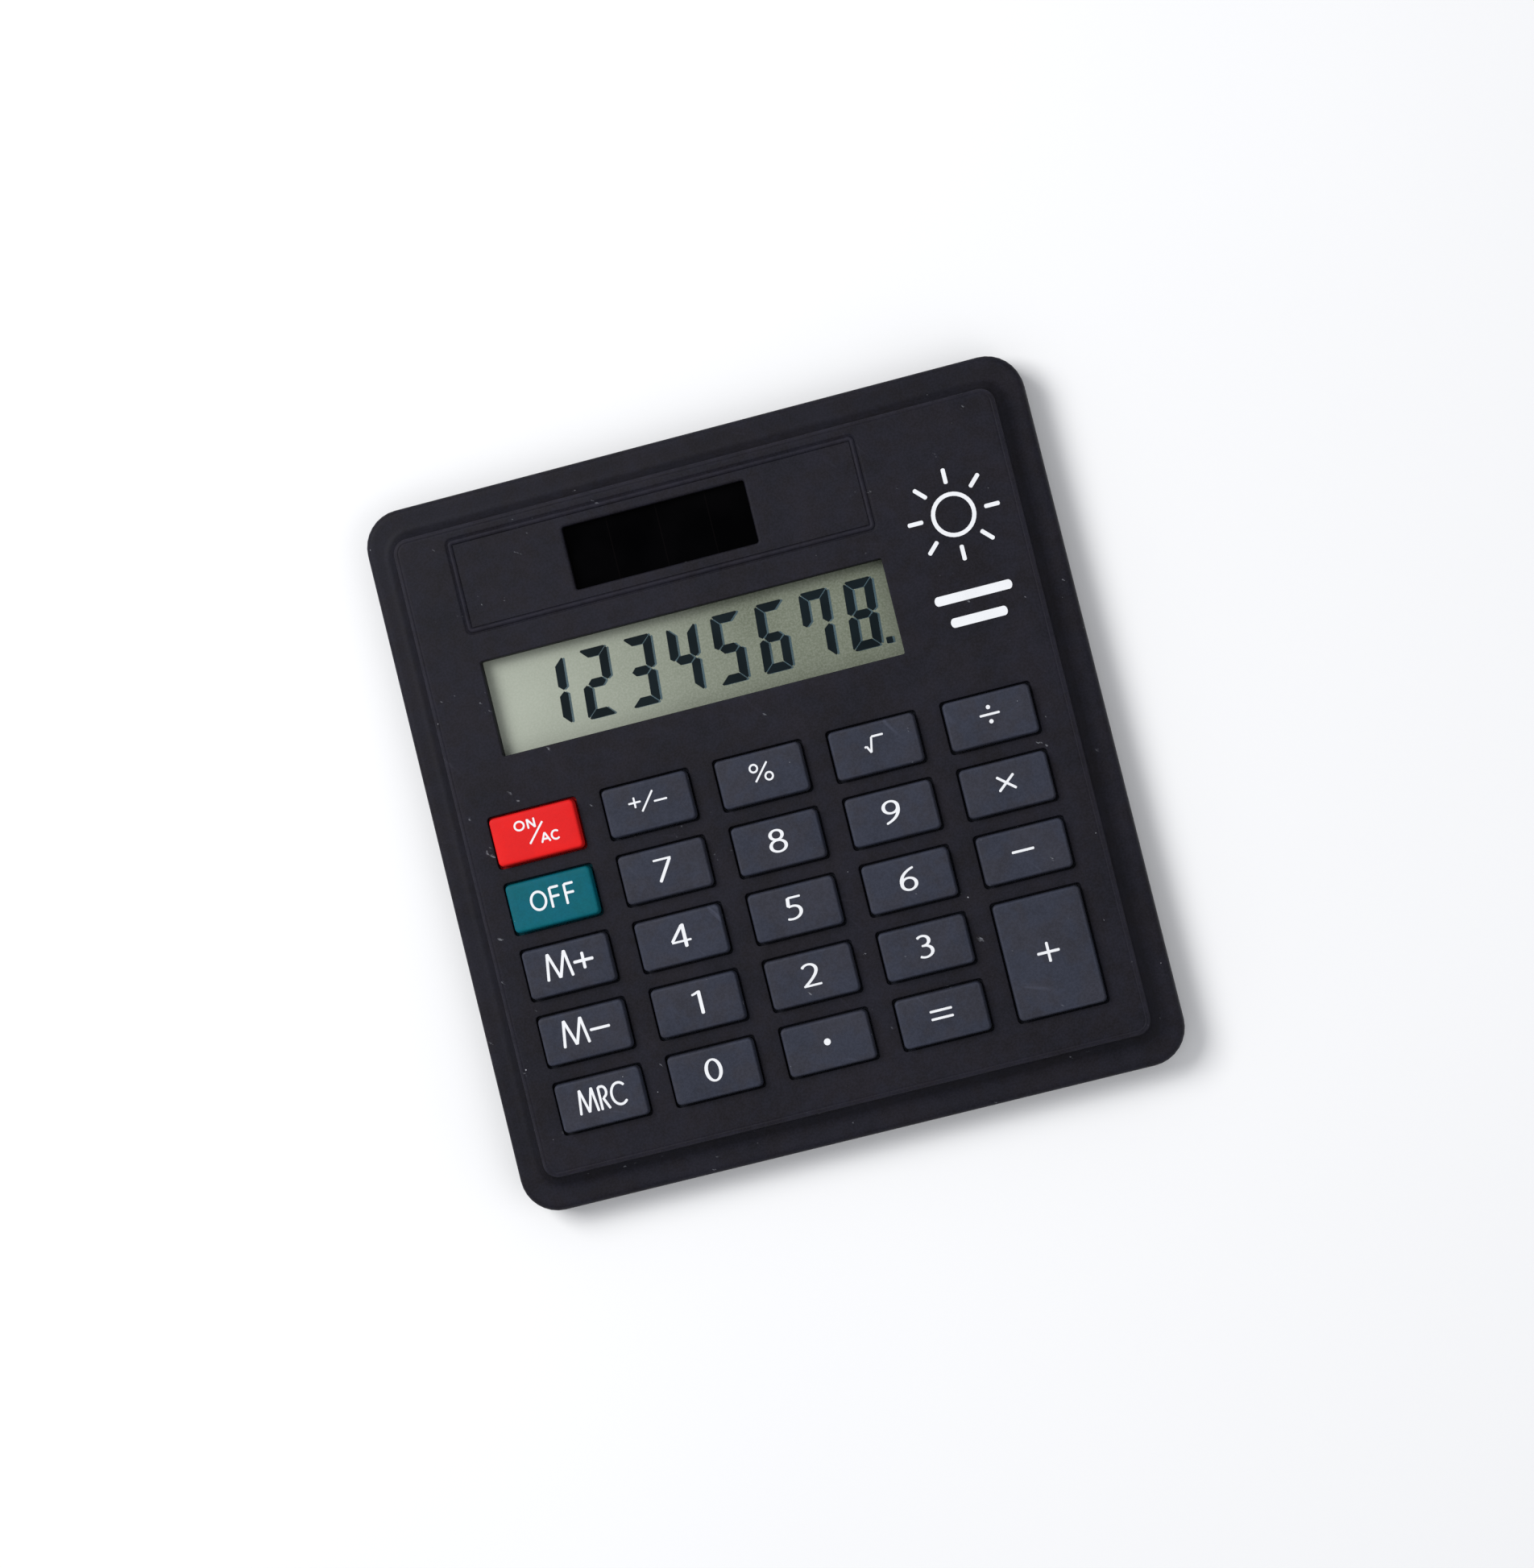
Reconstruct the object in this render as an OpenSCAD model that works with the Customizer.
// Pocket calculator: a shallow two-part plastic case with a raised panel, a field of
// sprung keys on a rubber mat, a liquid-crystal display, a solar cell and a button cell.
// Origin: the centre of the case outline, on the surface that the feet stand on.
// +X runs to the right of the key field, +Y to the display end and +Z out of the panel.

/* [Case] */
// Width of the case across the key columns
case_w = 90; // [89:0.5:110]
// Length of the case from the key end to the display end
case_l = 95.5; // [94.5:0.5:120]
// Corner radius of the case seen from the front
case_r = 5; // [4.5:0.1:7]
// Height of the raised panel above the surface under the feet
panel_z = 8; // [7.6:0.1:11]
// Distance from the case edge to the raised panel
panel_inset = 4.4; // [3.6:0.1:4.6]
// Corner radius of the raised panel
panel_r = 2; // [1.5:0.1:3]
// Height of the rim that runs round the raised panel
rim_z = 5.3; // [4.8:0.1:5.8]
// Radius of the hollow curve between the panel's wall and the rim
cove_r = 2; // [0.5:0.1:2.2]
// Rounding of the rim's outer edge
rim_edge_r = 0.8; // [0.2:0.1:1]
// Rounding of the panel's edge
panel_edge_r = 0.3; // [0.1:0.05:0.4]
// Height of the joint between the front and rear covers
parting_z = 4; // [3.6:0.1:4.2]
// Thickness of the case walls
wall = 1.2; // [1:0.05:1.5]
// Rounding of the rear cover's lower edge
base_edge_r = 1.6; // [0.4:0.1:2]
// Thickness of the front cover's locating lip
lip_t = 0.8; // [0.6:0.1:1]
// Depth of the front cover's locating lip
lip_h = 0.8; // [0.4:0.1:1]

/* [Keys] */
// Width of a key cap
key_w = 11.7; // [9:0.1:12.2]
// Length of a key cap
key_l = 6.6; // [5:0.1:6.8]
// Spacing of the key columns
key_pitch_x = 15.4; // [14.8:0.1:15.5]
// Spacing of the key rows
key_pitch_y = 9; // [8.8:0.05:9.1]
// Distance from the key end of the case to the last row's centre
keys_from_end = 13; // [12.8:0.1:14]
// Sideways shift of the key field from the case's centre line
keys_shift = -0.4; // [-0.5:0.1:0.5]
// Height of the key tops above the panel
key_proud = 1.3; // [1:0.1:2]
// Distance that a key travels when it is pressed
key_travel = 1; // [0.5:0.05:1.2]
// Corner radius of a key cap seen from the front
key_corner_r = 0.7; // [0.3:0.1:1.5]
// Rounding of a key cap's upper edge
key_edge_r = 0.35; // [0.1:0.05:0.8]
// Wall thickness of the hollow key cap
key_wall = 1; // [0.7:0.1:1.5]
// Diameter of the stem that presses the rubber dome
key_stem_d = 3.2; // [2.4:0.1:3.6]
// Gap between a key cap and the edge of its hole
key_gap = 0.36; // [0.2:0.02:0.4]
// Reach of a key's flange under the panel, past the edge of the hole
key_catch = 0.44; // [0.3:0.02:0.5]
// Thickness of a key's flange
key_flange_t = 0.7; // [0.5:0.05:0.8]

/* [Display] */
// Width of the display window
window_w = 54.8; // [46:0.1:56]
// Height of the display window
window_l = 12.7; // [10:0.1:13]
// Distance from the left edge of the case to the display's centre
display_from_left = 39.2; // [39:0.1:40]
// Distance from the display end of the case to the display's centre
display_from_top = 29.15; // [29:0.05:29.4]
// Depth of the display's face below the panel
display_depth = 2.2; // [1.9:0.1:2.4]
// Width that the display glass has behind the window, on each side
glass_margin_x = 2.6; // [1.5:0.1:2.8]
// Length that the display glass has behind the window, at each end
glass_margin_y = 2.15; // [1.8:0.05:2.3]
// Thickness of each sheet of display glass
glass_t = 0.7; // [0.4:0.05:0.8]
// Thickness of the front polariser and of the rear reflector
film_t = 0.2; // [0.1:0.05:0.3]
// Width of the contact ledge that the front glass leaves uncovered
glass_ledge = 2.4; // [2:0.1:3]
// Thickness of the contact strip along the ledge
zebra_t = 1.6; // [1.2:0.1:1.8]

/* [Solar cell] */
// Width of the solar cell's window
solar_window_w = 24.7; // [20:0.1:27]
// Height of the solar cell's window
solar_window_l = 8.4; // [6:0.1:8.8]
// Distance from the left edge of the case to the solar cell's centre
solar_from_left = 39.2; // [39:0.1:40]
// Distance from the display end of the case to the solar cell's centre
solar_from_top = 12.7; // [12.5:0.05:12.9]
// Width of the solar cell behind its window, on each side
solar_margin = 1.1; // [0.6:0.1:1.2]
// Thickness of the solar cell
solar_t = 1.1; // [0.8:0.1:1.3]
// Width of the raised frame on the panel round the solar cell
frame_w = 55.3; // [50:0.1:56]
// Length of the raised frame on the panel round the solar cell
frame_l = 12.7; // [11:0.1:13]
// Width of the frame's bead
frame_bead = 0.9; // [0.6:0.1:1.2]
// Height of the frame's bead above the panel
frame_rise = 0.25; // [0.1:0.05:0.5]

/* [Circuit and cell] */
// Thickness of the circuit board
board_t = 1; // [0.8:0.1:1]
// Thickness of the rubber mat between the domes
mat_t = 0.8; // [0.5:0.05:0.8]
// Diameter of a rubber dome at its foot
dome_d = 5.6; // [5:0.1:6]
// Diameter of a dome's hollow
dome_hollow_d = 3.8; // [3.2:0.1:4]
// Thickness of a dome's crown, which the key presses
dome_crown = 1; // [0.8:0.05:1]
// Diameter of the carbon pill inside a dome
pill_d = 2.6; // [2:0.1:3]
// Thickness of the carbon pill
pill_t = 0.3; // [0.2:0.05:0.3]
// Diameter of the button cell
cell_d = 11.6; // [9.5:0.1:11.8]
// Thickness of the button cell
cell_t = 3.05; // [2:0.05:3.6]
// Thickness of the cell's contact springs
contact_t = 0.2; // [0.15:0.05:0.3]
// Width of the cell's contact springs
contact_w = 3; // [2:0.1:4]
// Diameter of the sealing blob over the chip
blob_d = 7.6; // [6:0.1:8]
// Height of the sealing blob over the chip
blob_h = 1.1; // [0.8:0.1:1.4]
// Diameter of the capacitor
capacitor_d = 2.4; // [2:0.1:2.6]
// Length of the capacitor
capacitor_l = 6; // [5:0.1:7]
// Diameter of the solar cell's leads
lead_d = 0.6; // [0.4:0.05:0.8]

/* [Fixings] */
// Diameter of a case screw's thread
screw_d = 1.7; // [1.4:0.1:2]
// Diameter of a case screw's head
screw_head_d = 3.2; // [2.8:0.1:3.4]
// Height of a case screw's head
screw_head_h = 0.9; // [0.7:0.05:1]
// Distance from each side of the case to a case screw
screw_inset = 5.4; // [5.2:0.1:5.6]
// Diameter of the screw bosses in the front cover
boss_d = 4.2; // [3.8:0.1:4.4]
// Diameter of the pegs that locate the circuit board
peg_d = 1.8; // [1.4:0.1:2]
// Diameter of a rubber foot
foot_d = 8; // [6:0.1:9]
// Height that the feet stand out of the rear cover
foot_proud = 0.6; // [0.4:0.05:0.8]
// Depth of the recess that holds a foot
foot_recess = 0.4; // [0.2:0.05:0.6]
// Distance from each side of the case to a foot's centre
foot_inset = 11; // [10.8:0.1:14]

/* [Hidden] */
// Gap between pieces that are laid together without a press fit
laid_gap = 0.05;
// Clearance round a piece in its pocket
pocket_gap = 0.2;
// Clearance round a peg or a screw in its hole
hole_gap = 0.1;
// Gap above and below a key at rest
stop_gap = 0.1;
// Gap between the rear cover and the contact under the button cell
cell_gap = 0.2;
// Small length by which a cut runs past a face
past = 1;
// Thickness of the ribs inside the front cover
rib_t = 0.8;
// Depth of the rear cover's recess for a label, and that recess's size
label_depth = 0.2;
label_w = 44;
label_l = 16;
label_y = 18;
// Places of the posts under the circuit board, as counts and spacings
post_d = 2.4;
post_columns = 3;
post_rows = 4;
post_spacing_x = 27;
post_spacing_y = 13.5;
// Length of thread between the screw boss and the cover's outer face
screw_tip_cover = 1.5;
// Width and depth of the cross in a screw's head
cross_w = 0.45;
cross_h = 0.5;
// Number of flats that small, usual and large round shapes are drawn with
small_fn = 32;
large_fn = 128;
$fn = 48;

// Key names, row by row from the display end; the last column's fourth key is two rows tall
KEY_ROWS = [
    ["key_on_ac", "key_sign", "key_percent", "key_root", "key_divide"],
    ["key_off", "key_7", "key_8", "key_9", "key_multiply"],
    ["key_memory_plus", "key_4", "key_5", "key_6", "key_minus"],
    ["key_memory_minus", "key_1", "key_2", "key_3", "key_plus"],
    ["key_memory_recall", "key_0", "key_point", "key_equals"]
];
COLUMNS = len(KEY_ROWS[0]);
ROWS = len(KEY_ROWS);
TALL_ROW = ROWS - 2;
TALL_COLUMN = COLUMNS - 1;
CORNERS = [[-1, -1], [1, -1], [-1, 1], [1, 1]];
FOOT_NAMES = ["foot_front_left", "foot_front_right", "foot_rear_left", "foot_rear_right"];

// Heights, from the feet up
base_z = foot_proud;
base_inner_z = base_z + wall;
ceiling_z = panel_z - wall;
key_top_z = panel_z + key_proud;
flange_top_z = ceiling_z - stop_gap;
key_bottom_z = flange_top_z - key_flange_t;
dome_top_z = key_bottom_z - stop_gap;
pill_top_z = dome_top_z - dome_crown;
board_top_z = pill_top_z - pill_t - key_travel;
board_z = board_top_z - board_t;
display_top_z = panel_z - display_depth;
front_glass_z = display_top_z - film_t - glass_t;
rear_glass_z = front_glass_z - glass_t;
display_z = rear_glass_z - film_t;
solar_top_z = ceiling_z - laid_gap;

// Plan sizes and places
panel_w = case_w - 2 * panel_inset;
panel_l = case_l - 2 * panel_inset;
hole_w = key_w + 2 * key_gap;
hole_l = key_l + 2 * key_gap;
flange_w = hole_w + 2 * key_catch;
flange_l = hole_l + 2 * key_catch;
last_row_y = -case_l / 2 + keys_from_end;
first_row_y = last_row_y + (ROWS - 1) * key_pitch_y;
first_column_x = keys_shift - (COLUMNS - 1) / 2 * key_pitch_x;
key_field_top = first_row_y + flange_l / 2;
key_field_bottom = last_row_y - flange_l / 2;
display_x = -case_w / 2 + display_from_left;
display_y = case_l / 2 - display_from_top;
glass_w = window_w + 2 * glass_margin_x;
glass_l = window_l + 2 * glass_margin_y;
pocket_w = glass_w + 2 * (pocket_gap + rib_t);
pocket_l = glass_l + 2 * (pocket_gap + rib_t);
display_right = display_x + pocket_w / 2;
display_bottom = display_y - pocket_l / 2;
solar_x = -case_w / 2 + solar_from_left;
solar_y = case_l / 2 - solar_from_top;
solar_w = solar_window_w + 2 * solar_margin;
solar_l = solar_window_l + 2 * solar_margin;
inner_w = panel_w - 2 * wall;
inner_l = panel_l - 2 * wall;
peg_gap = 0.6;
board_edge = 0.8;
board_w = inner_w - 2 * board_edge;
board_y0 = -inner_l / 2 + board_edge;
cell_x = display_right + peg_gap + cell_d / 2 + pocket_gap;
cell_y = display_y + glass_l / 2 + 0.45;
cell_z = min(base_inner_z + cell_gap + contact_t, board_z) + laid_gap;
contact_foot = 1.8;
contact_leg_y = cell_y + cell_d / 2 + 2 * pocket_gap + contact_t;
contact_end_y = contact_leg_y + contact_foot;
contact_spacing = 2.2;
board_y1 = contact_end_y + board_edge;
blob_x = cell_x;
blob_y = display_bottom + blob_d / 2 + 0.1;
capacitor_x = cell_x - capacitor_l / 2;
capacitor_y = (blob_y + blob_d / 2 + cell_y - cell_d / 2) / 2;
screw_x = case_w / 2 - screw_inset;
screw_y = case_l / 2 - screw_inset;
foot_x = case_w / 2 - foot_inset;
foot_y = case_l / 2 - foot_inset + 1.3;
mat_margin = 0.5;
mat_y0 = key_field_bottom - mat_margin;
mat_y1 = key_field_top + mat_margin;
mat_w = (COLUMNS - 1) * key_pitch_x + flange_w + 2 * mat_margin;
side_peg_x = board_w / 2 - peg_d / 2 - peg_gap;
end_peg_x = 2 * key_pitch_x;
PEGS = [
    [-end_peg_x, (mat_y0 - inner_l / 2) / 2],
    [end_peg_x, (mat_y0 - inner_l / 2) / 2],
    [-side_peg_x, (mat_y1 + display_bottom) / 2],
    [side_peg_x, (mat_y1 + display_bottom) / 2],
    [-side_peg_x, solar_y],
    [side_peg_x, solar_y]
];

function flat(lists) = [for (list = lists) for (item = list) item];

// ---- Shared shapes ----

// Flat rectangle with round corners
module rounded_rectangle(w, l, r) {
    square([w - 2 * r, l], center = true);
    square([w, l - 2 * r], center = true);
    for (corner = CORNERS)
        translate([corner[0] * (w / 2 - r), corner[1] * (l / 2 - r)])
            circle(r = r);
}

// Upright block with round corners, from height z0 to height z1
module rounded_block(w, l, r, z0, z1) {
    translate([0, 0, z0])
        linear_extrude(z1 - z0)
            rounded_rectangle(w, l, r);
}

// Ring that carries a flat profile round a rounded rectangle. The profile's x is the distance
// outwards from the outline, and its y is the height.
module swept_ring(w, l, r) {
    for (turn = [0, 1, 2, 3]) {
        side_x = turn == 0 || turn == 3 ? 1 : -1;
        side_y = turn < 2 ? 1 : -1;
        translate([side_x * (w / 2 - r), side_y * (l / 2 - r), 0])
            rotate(90 * turn)
                rotate_extrude(angle = 90)
                    translate([r, 0])
                        children();
        run = (turn % 2 == 0 ? l : w) - 2 * r;
        reach = (turn % 2 == 0 ? w : l) / 2;
        rotate(90 * turn)
            translate([reach, run / 2, 0])
                rotate([90, 0, 0])
                    linear_extrude(run)
                        children();
    }
}

// Profile of a slab's edge band, rounded at its top and its foot
module edge_profile(band, z0, z1, foot_r, top_r) {
    difference() {
        translate([-band, z0])
            square([band, z1 - z0]);
        if (top_r > 0)
            edge_corner(-top_r, z1 - top_r, top_r, 1);
        if (foot_r > 0)
            edge_corner(-foot_r, z0 + foot_r, foot_r, -1);
    }
}

// What a rounding of radius r takes off a square corner; up is 1 for a top edge, -1 for a foot
module edge_corner(x, z, r, up) {
    difference() {
        translate([x, up > 0 ? z : z - r - past])
            square([r + past, r + past]);
        translate([x, z])
            circle(r = r);
    }
}

// Slab with round corners and rounded edges
module soft_slab(w, l, r, z0, z1, foot_r, top_r) {
    band = max(foot_r, top_r);
    rounded_block(w - 2 * band, l - 2 * band, r - band, z0, z1);
    swept_ring(w, l, r)
        edge_profile(band, z0, z1, foot_r, top_r);
}

// Upright hollow wall with round corners, given by its inner size
module rounded_wall(w, l, r, t, z0, z1) {
    difference() {
        rounded_block(w + 2 * t, l + 2 * t, r + t, z0, z1);
        rounded_block(w, l, r, z0 - past, z1 + past);
    }
}

// Places its children at every screw
module at_screws() {
    for (corner = CORNERS)
        translate([corner[0] * screw_x, corner[1] * screw_y, 0])
            children();
}

// Places its children at the centre of every key's dome
module at_keys() {
    for (row = [0 : ROWS - 1])
        for (column = [0 : len(KEY_ROWS[row]) - 1])
            translate([key_x(column), key_y(row, column), 0])
                children();
}

function key_x(column) = first_column_x + column * key_pitch_x;
function is_tall(row, column) = row == TALL_ROW && column == TALL_COLUMN;
function key_y(row, column) =
    last_row_y + (ROWS - 1 - row) * key_pitch_y - (is_tall(row, column) ? key_pitch_y / 2 : 0);
function key_extra(row, column) = is_tall(row, column) ? key_pitch_y : 0;

// ---- Case ----

module front_shell() {
    soft_slab(case_w, case_l, case_r, parting_z, rim_z, 0, rim_edge_r);
    soft_slab(panel_w, panel_l, panel_r, parting_z, panel_z, 0, panel_edge_r);
    swept_ring(panel_w, panel_l, panel_r)
        difference() {
            translate([-panel_edge_r, parting_z])
                square([cove_r + panel_edge_r, rim_z + cove_r - parting_z]);
            translate([cove_r, rim_z + cove_r])
                circle(r = cove_r);
        }
}

module front_ribs() {
    // Lip that fits inside the rear cover's wall
    lip_inset = wall + pocket_gap;
    rounded_wall(
        case_w - 2 * (lip_inset + lip_t),
        case_l - 2 * (lip_inset + lip_t),
        case_r - lip_inset - lip_t,
        lip_t,
        parting_z - lip_h,
        parting_z
    );
    // Skirt of the display window, down to the display's face
    translate([display_x, display_y, 0])
        rounded_wall(window_w, window_l, 0.1, rib_t, display_top_z + laid_gap, ceiling_z);
    // Pocket round the display glass
    translate([display_x, display_y, 0])
        rounded_wall(
            glass_w + 2 * pocket_gap,
            glass_l + 2 * pocket_gap,
            0.3,
            rib_t,
            display_z,
            ceiling_z
        );
    // Pocket round the solar cell
    translate([solar_x, solar_y, 0])
        rounded_wall(
            solar_w + 2 * pocket_gap,
            solar_l + 2 * pocket_gap,
            0.3,
            rib_t,
            solar_top_z - solar_t,
            ceiling_z
        );
    // Ribs between the key columns, which hold the mat down
    for (column = [0 : COLUMNS - 2])
        translate([
            key_x(column) + key_pitch_x / 2 - rib_t / 2,
            key_field_bottom,
            board_top_z + mat_t + laid_gap
        ])
            cube([
                rib_t,
                key_field_top - key_field_bottom,
                ceiling_z - board_top_z - mat_t - laid_gap
            ]);
    // Pegs that locate the circuit board
    for (peg = PEGS)
        translate([peg[0], peg[1], board_z + laid_gap])
            cylinder(d = peg_d, h = ceiling_z - board_z - laid_gap);
    // Bosses for the case screws
    at_screws()
        translate([0, 0, board_z + laid_gap])
            cylinder(d = boss_d, h = rim_z - board_z - laid_gap);
}

module front_cover() {
    color([0.16, 0.15, 0.18])
    difference() {
        union() {
            difference() {
                front_shell();
                rounded_block(inner_w, inner_l, panel_r - wall, parting_z - past, ceiling_z);
            }
            front_ribs();
            translate([solar_x, solar_y, 0])
                rounded_wall(
                    frame_w - 2 * frame_bead,
                    frame_l - 2 * frame_bead,
                    0.4,
                    frame_bead,
                    ceiling_z,
                    panel_z + frame_rise
                );
        }
        // Key holes
        for (row = [0 : ROWS - 1])
            for (column = [0 : len(KEY_ROWS[row]) - 1])
                translate([key_x(column), key_y(row, column), 0])
                    rounded_block(
                        hole_w,
                        hole_l + key_extra(row, column),
                        key_corner_r + key_gap,
                        ceiling_z - laid_gap,
                        panel_z + past
                    );
        // Display window
        translate([display_x, display_y, 0])
            rounded_block(window_w, window_l, 0.1, display_top_z, panel_z + past);
        // Solar window
        translate([solar_x, solar_y, 0])
            rounded_block(
                solar_window_w,
                solar_window_l,
                0.4,
                ceiling_z - laid_gap,
                panel_z + past
            );
        // Threaded holes for the case screws
        at_screws()
            translate([0, 0, board_z])
                cylinder(d = screw_d + hole_gap, h = rim_z - board_z);
    }
}

module rear_cover() {
    color([0.15, 0.14, 0.17])
    difference() {
        union() {
            difference() {
                soft_slab(case_w, case_l, case_r, base_z, parting_z, base_edge_r, 0);
                rounded_block(
                    case_w - 2 * wall,
                    case_l - 2 * wall,
                    case_r - wall,
                    base_inner_z,
                    parting_z + past
                );
            }
            at_screws()
                translate([0, 0, base_inner_z - wall / 2])
                    cylinder(d = boss_d, h = board_z - base_inner_z + wall / 2);
            // Posts that hold the circuit board up under the keys
            for (i = [0 : post_columns - 1])
                for (j = [0 : post_rows - 1])
                    translate([
                        keys_shift + (i - (post_columns - 1) / 2) * post_spacing_x,
                        last_row_y + j * post_spacing_y,
                        base_inner_z - wall / 2
                    ])
                        cylinder(d = post_d, h = board_z - base_inner_z + wall / 2);
        }
        at_screws() {
            cylinder(d = screw_d + 2 * hole_gap, h = board_z + past);
            cylinder(d = screw_head_d + 2 * pocket_gap, h = base_inner_z);
        }
        for (corner = CORNERS)
            translate([corner[0] * foot_x, corner[1] * foot_y, 0])
                cylinder(d = foot_d + 2 * hole_gap, h = base_z + foot_recess);
        translate([-label_w / 2, label_y - label_l / 2, 0])
            cube([label_w, label_l, base_z + label_depth]);
    }
}

module foot(corner) {
    color([0.1, 0.1, 0.1])
    translate([corner[0] * foot_x, corner[1] * foot_y, 0])
        rotate_extrude()
            polygon([
                [0, 0],
                [foot_d / 2 - foot_proud / 2, 0],
                [foot_d / 2, foot_proud / 2],
                [foot_d / 2, base_z + foot_recess - laid_gap],
                [0, base_z + foot_recess - laid_gap]
            ]);
}

module case_screws() {
    tip_z = rim_z - screw_tip_cover;
    color([0.55, 0.55, 0.58])
    at_screws()
        difference() {
            union() {
                translate([0, 0, base_inner_z - laid_gap - screw_head_h])
                    cylinder(d = screw_head_d, h = screw_head_h);
                translate([0, 0, base_inner_z - screw_head_h])
                    cylinder(d = screw_d, h = tip_z - base_inner_z + screw_head_h);
            }
            for (turn = [0, 90])
                rotate(turn)
                    translate([-screw_head_d / 4, -cross_w / 2, 0])
                        cube([
                            screw_head_d / 2,
                            cross_w,
                            base_inner_z - laid_gap - screw_head_h + cross_h
                        ]);
        }
}

// ---- Keys ----

// Upright block with round corners and a rounded upper edge
module key_cap(w, l) {
    soft_slab(w, l, key_corner_r, flange_top_z - key_flange_t / 2, key_top_z, 0, key_edge_r);
}

module key(row, column) {
    w = key_w;
    l = key_l + key_extra(row, column);
    flange_corner_r = key_corner_r + key_gap + key_catch;
    color(key_colour(row, column))
    translate([key_x(column), key_y(row, column), 0])
        difference() {
            union() {
                key_cap(w, l);
                rounded_block(
                    flange_w,
                    flange_l + key_extra(row, column),
                    flange_corner_r,
                    key_bottom_z,
                    flange_top_z
                );
            }
            difference() {
                rounded_block(
                    w - 2 * key_wall,
                    l - 2 * key_wall,
                    key_corner_r,
                    key_bottom_z - past,
                    key_top_z - key_wall
                );
                translate([0, 0, key_bottom_z])
                    cylinder(d = key_stem_d, h = key_top_z - key_wall - key_bottom_z);
            }
        }
}

function key_colour(row, column) =
    row == 0 && column == 0 ? [0.93, 0.13, 0.14] :
    row == 1 && column == 0 ? [0.08, 0.45, 0.46] :
    [0.23, 0.24, 0.29];

module rubber_keypad() {
    color([0.62, 0.62, 0.6])
    difference() {
        union() {
            translate([keys_shift, (mat_y0 + mat_y1) / 2, 0])
                rounded_block(mat_w, mat_y1 - mat_y0, 1, board_top_z, board_top_z + mat_t);
            at_keys()
                translate([0, 0, board_top_z])
                    cylinder(d1 = dome_d, d2 = key_stem_d, h = dome_top_z - board_top_z);
        }
        at_keys()
            translate([0, 0, board_top_z - past])
                cylinder(d = dome_hollow_d, h = pill_top_z - board_top_z + past);
    }
}

module carbon_pills() {
    color([0.08, 0.08, 0.08])
    at_keys()
        translate([0, 0, pill_top_z - pill_t])
            cylinder(d = pill_d, h = pill_t);
}

// ---- Circuit ----

module circuit_board() {
    color([0.2, 0.42, 0.24])
    difference() {
        translate([-board_w / 2, board_y0, board_z])
            cube([board_w, board_y1 - board_y0, board_t]);
        for (peg = PEGS)
            translate([peg[0], peg[1], board_z - past])
                cylinder(d = peg_d + 2 * hole_gap, h = board_t + 2 * past);
        translate([cell_x, cell_y, board_z - past])
            cylinder(d = cell_d + 2 * pocket_gap, h = board_t + 2 * past);
        at_screws()
            translate([0, 0, board_z - past])
                cylinder(d = boss_d + 2 * pocket_gap, h = board_t + 2 * past);
    }
}

module chip_blob() {
    // A cap of height blob_h and diameter blob_d cut from a ball
    ball_r = (pow(blob_d / 2, 2) + pow(blob_h, 2)) / (2 * blob_h);
    color([0.05, 0.05, 0.05])
    translate([blob_x, blob_y, board_top_z])
        intersection() {
            translate([0, 0, blob_h - ball_r])
                sphere(r = ball_r, $fn = large_fn);
            cylinder(d = blob_d + past, h = blob_h + past);
        }
}

module capacitor() {
    color([0.1, 0.12, 0.3])
    translate([capacitor_x, capacitor_y, board_top_z + capacitor_d / 2])
        rotate([0, 90, 0])
            cylinder(d = capacitor_d, h = capacitor_l, $fn = small_fn);
}

module button_cell() {
    // The lid is narrower than the can by the seal round it
    lid_t = cell_t / 4;
    seal = 0.7;
    color([0.75, 0.75, 0.77])
    translate([cell_x, cell_y, cell_z]) {
        cylinder(d = cell_d - 2 * seal, h = cell_t);
        translate([0, 0, lid_t])
            cylinder(d = cell_d, h = cell_t - lid_t);
    }
}

// Bent contact strip: a tongue on the cell, a leg beside it and a foot on the board
module contact(x, tongue_z, foot_z) {
    low = min(tongue_z, foot_z);
    high = max(tongue_z, foot_z) + contact_t;
    translate([x - contact_w / 2, cell_y - cell_d / 4, tongue_z])
        cube([contact_w, contact_leg_y - cell_y + cell_d / 4, contact_t]);
    translate([x - contact_w / 2, contact_leg_y - contact_t, low])
        cube([contact_w, contact_t, high - low]);
    translate([x - contact_w / 2, contact_leg_y - contact_t, foot_z])
        cube([contact_w, contact_foot + contact_t, contact_t]);
}

module contact_positive() {
    color([0.8, 0.76, 0.6])
    contact(cell_x + contact_spacing, cell_z + cell_t + laid_gap, board_top_z);
}

module contact_negative() {
    color([0.8, 0.76, 0.6])
    contact(cell_x - contact_spacing, cell_z - laid_gap - contact_t, board_z - contact_t);
}

// ---- Display and solar cell ----

// One sheet of the display, centred on the window
module display_sheet(w, l, z, t, shift = 0) {
    translate([display_x - w / 2, display_y - l / 2 + shift, z])
        cube([w, l, t]);
}

module display_front_polariser() {
    color([0.55, 0.58, 0.5])
    display_sheet(window_w + 2 * rib_t, window_l + 2 * rib_t, display_top_z - film_t, film_t);
}

module display_front_glass() {
    color([0.7, 0.75, 0.72])
    display_sheet(glass_w, glass_l, front_glass_z, glass_t);
}

module display_rear_glass() {
    color([0.7, 0.75, 0.72])
    display_sheet(glass_w, glass_l - glass_ledge, rear_glass_z, glass_t, glass_ledge / 2);
}

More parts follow.
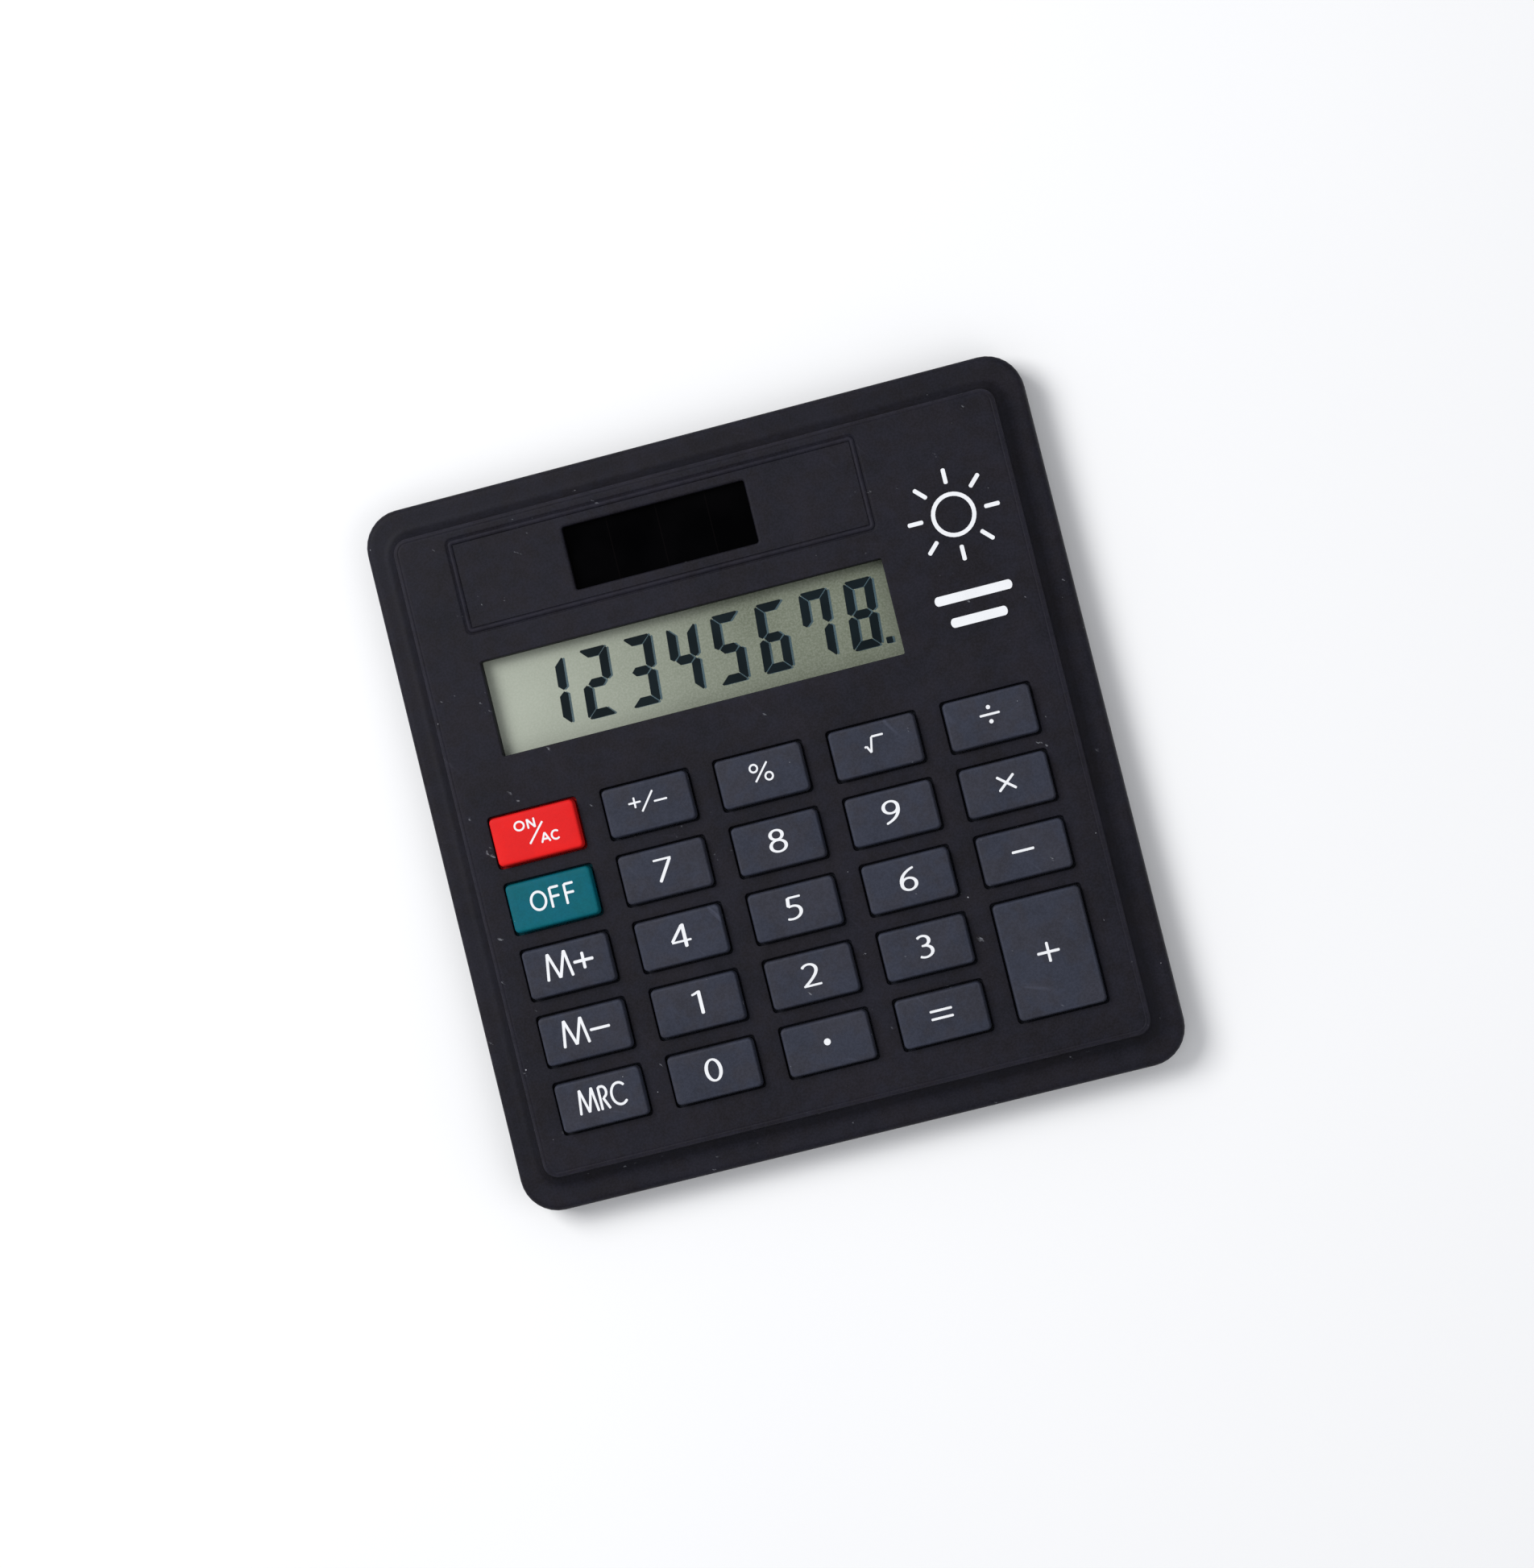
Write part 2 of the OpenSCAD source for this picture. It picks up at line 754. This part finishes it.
module display_reflector() {
    color([0.75, 0.76, 0.7])
    display_sheet(
        glass_w - 2 * rib_t,
        glass_l - glass_ledge - 2 * rib_t,
        display_z,
        film_t,
        glass_ledge / 2
    );
}

module zebra_connector() {
    color([0.35, 0.35, 0.37])
    translate([
        display_x - window_w / 2,
        display_y - glass_l / 2 + pocket_gap,
        board_top_z
    ])
        cube([window_w, zebra_t, front_glass_z - board_top_z]);
}

module display_foam_strip() {
    strip_l = 3;
    color([0.2, 0.2, 0.2])
    translate([
        display_x - window_w / 2,
        display_y + glass_l / 2 - strip_l - rib_t,
        board_top_z
    ])
        cube([window_w, strip_l, display_z - board_top_z]);
}

module solar_cell() {
    color([0.03, 0.03, 0.04])
    translate([solar_x - solar_w / 2, solar_y - solar_l / 2, solar_top_z - solar_t])
        cube([solar_w, solar_l, solar_t]);
}

// Short wire from the back of the solar cell to the board, with one round elbow
module solar_lead(side) {
    x = solar_x + side * solar_w / 3;
    top = [x, solar_y - solar_l / 4, solar_top_z - solar_t];
    elbow_z = (top[2] + board_top_z) / 2;
    foot_y = top[1] - 2;
    translate([x, top[1], elbow_z])
        cylinder(d = lead_d, h = top[2] - elbow_z, $fn = small_fn);
    translate([x, foot_y, elbow_z])
        rotate([-90, 0, 0])
            cylinder(d = lead_d, h = top[1] - foot_y, $fn = small_fn);
    translate([x, foot_y, board_top_z])
        cylinder(d = lead_d, h = elbow_z - board_top_z, $fn = small_fn);
    for (y = [foot_y, top[1]])
        translate([x, y, elbow_z])
            sphere(d = lead_d, $fn = small_fn);
}

module solar_lead_positive() {
    color([0.7, 0.1, 0.1])
    solar_lead(-1);
}

module solar_lead_negative() {
    color([0.08, 0.08, 0.08])
    solar_lead(1);
}

// ---- The assembly ----

front_cover();
rear_cover();
rubber_keypad();
carbon_pills();
circuit_board();
chip_blob();
capacitor();
display_front_polariser();
display_front_glass();
display_rear_glass();
display_reflector();
zebra_connector();
display_foam_strip();
solar_cell();
solar_lead_positive();
solar_lead_negative();
button_cell();
contact_positive();
contact_negative();
case_screws();
for (i = [0 : len(CORNERS) - 1])
    foot(CORNERS[i]);
for (row = [0 : ROWS - 1])
    for (column = [0 : len(KEY_ROWS[row]) - 1])
        key(row, column);
